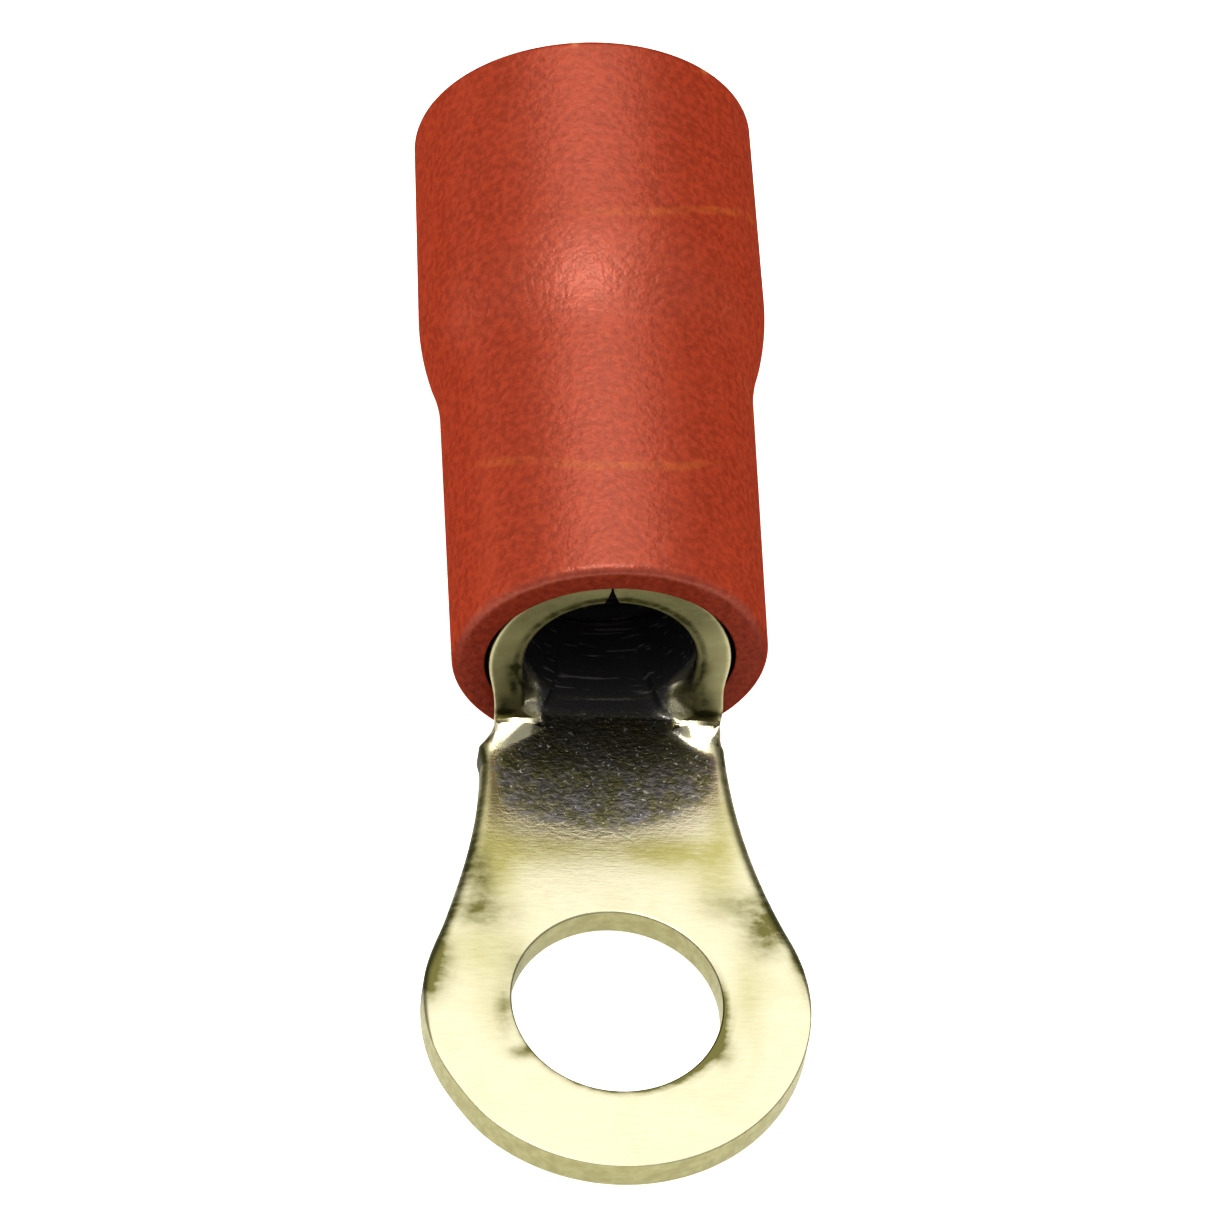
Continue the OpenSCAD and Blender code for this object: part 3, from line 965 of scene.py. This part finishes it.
# %% Red PVC: matt body and soft gloss
bore_red, gloss_tint = (0.012, 0.003, 0.006), (1.0, 0.50, 0.40)
pvc.set({"Base Color": pvc.blend(inside, red, bore_red), "Roughness": 0.6,
         "Specular IOR Level": 0.0, "Normal": grain})
gloss = pvc.node("ShaderNodeBsdfPrincipled", None,
                 {"Base Color": gloss_tint, "Metallic": 1.0, "Roughness": 0.38, "Normal": grain})
facing = pvc.node("ShaderNodeLayerWeight", None, {"Blend": 0.5}, "Facing")
matt = Sum(pvc, pvc.shader.outputs["BSDF"])
share = facing.ramp(0.05, 0.6, 0.14, 0.02)
satin = pvc.node("ShaderNodeMixShader", None, {0: share, 1: matt, 2: gloss})
pvc.plug(pvc.tree.nodes["Material Output"].inputs["Surface"], satin)
sleeve.data.materials.append(pvc.material)
print("red PVC:", len(pvc.tree.nodes), "nodes")

# %% [markdown]
# The terminal comes to rest on the front edge of the sleeve and on its shoulder, so the
# floor is a plane that touches both. The two points depend on the slope and the slope on
# the two points, so a few rounds find them. It slopes by about two degrees against the seat.

# %% Where the floor touches the sleeve
under_line = np.stack([section[:, 1], axis_z - section[:, 0]], -1)
in_front = under_line[:, 0] < (step_from + sleeve_start) / 2
slope = 0.0
for _ in range(8):
    lift = under_line[:, 1] - slope * under_line[:, 0]
    front_touch = under_line[in_front][lift[in_front].argmin()]
    rear_touch = under_line[~in_front][lift[~in_front].argmin()]
    slope = (rear_touch[1] - front_touch[1]) / (rear_touch[0] - front_touch[0])
print(f"floor slopes {math.degrees(math.atan(slope)):.2f} degrees, "
      f"from {front_touch[0]:.2f} to {rear_touch[0]:.2f}")

# %% [markdown]
# The floor is one big plain square of pale paper, which glows a little so that it stays
# white under soft light. It lies a hair below the sleeve, so the two never cut.

# %% Floor
reach, hair = 0.6, 0.002
corners = [(-reach, -reach, 0), (reach, -reach, 0), (reach, reach, 0), (-reach, reach, 0)]
floor_mesh = bpy.data.meshes.new("floor")
floor_mesh.from_pydata(corners, [], [(0, 1, 2, 3)])
floor = bpy.data.objects.new("floor", floor_mesh)
bpy.context.scene.collection.objects.link(floor)
floor.location = (0, front_touch[0] * MM, (front_touch[1] - hair) * MM)
floor.rotation_euler = (math.atan(slope), 0, 0)
paper = Finish("pale_floor")
paper.set({"Base Color": (0.92, 0.92, 0.92), "Roughness": 0.9,
           "Emission Color": (1.0, 1.0, 1.0), "Emission Strength": 0.5})
floor_mesh.materials.append(paper.material)
print("floor at", [round(v / MM, 2) for v in floor.location])

# %% [markdown]
# The camera is a long lens from above the ring, turned a little, so the terminal stands
# nearly upright in the frame with its sleeve away from the viewer. It is placed by two
# angles and a distance from the point that it aims at, and rolled about its own axis.

# %% Camera
azimuth, elevation, roll = (math.radians(v) for v in (-10.666, 55.023, -9.819))
aim, distance = Vector((0, 5.789, 2.436)) * MM, 227.858 * MM
away = Vector((math.sin(azimuth) * math.cos(elevation),
               -math.cos(azimuth) * math.cos(elevation), math.sin(elevation)))
level_dir = Vector((math.cos(azimuth), math.sin(azimuth), 0))
upright_dir = away.cross(level_dir)
right_dir = level_dir * math.cos(roll) - upright_dir * math.sin(roll)
top_dir = level_dir * math.sin(roll) + upright_dir * math.cos(roll)
lens = bpy.data.cameras.new("camera")
lens.sensor_width, lens.lens = 36, 441.17
lens.clip_start, lens.clip_end = 0.01, 5
camera = bpy.data.objects.new("camera", lens)
bpy.context.scene.collection.objects.link(camera)
stand = aim + away * distance
camera.matrix_world = Matrix((
    (right_dir.x, top_dir.x, away.x, stand.x), (right_dir.y, top_dir.y, away.y, stand.y),
    (right_dir.z, top_dir.z, away.z, stand.z), (0, 0, 0, 1)))
bpy.context.scene.camera = camera
print("camera at", [round(v / MM, 1) for v in stand])

# %% [markdown]
# Metal shows what stands around it, so the room counts as much as the lamps. It is darker
# near the floor and paler overhead, which gives the rounded edges their dark lines.

# %% Room
low_z, high_z, low_glow, high_glow = 0.0, 0.4, 0.09, 0.46
scene = bpy.context.scene
scene.view_settings.view_transform = "Standard"
scene.view_settings.look = "High Contrast"
room = bpy.data.worlds.new("room")
room.use_nodes = True
sky = room.node_tree.nodes
wire = room.node_tree.links.new
level = sky.new("ShaderNodeSeparateXYZ")
fade = sky.new("ShaderNodeMapRange")
fade.interpolation_type = "SMOOTHSTEP"
for socket, value in zip(list(fade.inputs)[1:5], (low_z, high_z, low_glow, high_glow)):
    socket.default_value = value
wire(sky.new("ShaderNodeTexCoord").outputs["Generated"], level.inputs[0])
wire(level.outputs["Z"], fade.inputs[0])
wire(fade.outputs[0], sky["Background"].inputs["Strength"])
sky["Background"].inputs["Color"].default_value = (1, 1, 1, 1)
scene.world = room
print(f"room glows {low_glow} at the floor and {high_glow} overhead")

# %% [markdown]
# Three soft lamps: a large one behind, which the flat face of the ring mirrors, one overhead
# for the broad sheen on the sleeve, and a weak one in front for the edges.

# %% Lamps
def softbox(name, place, width, depth, glow):
    """A flat lamp of that size, turned to the terminal; glow is how bright its face looks."""
    light = bpy.data.lights.new(name, "AREA")
    light.shape, light.size, light.size_y = "RECTANGLE", width, depth
    light.energy = glow * math.pi * width * depth
    lamp = bpy.data.objects.new(name, light)
    bpy.context.scene.collection.objects.link(lamp)
    lamp.location = place
    toward = Vector((0, 0.006, 0)) - Vector(place)
    lamp.rotation_euler = toward.to_track_quat("-Z", "Y").to_euler()
    print(f"{name}: {width} by {depth} m, glow {glow}")


softbox("behind", (0.0, 0.22, 0.33), 0.42, 0.34, 1.0)
softbox("overhead", (-0.07, -0.03, 0.42), 0.24, 0.24, 3.6)
softbox("front", (0.02, -0.34, 0.29), 0.30, 0.12, 0.7)

# %% [markdown]
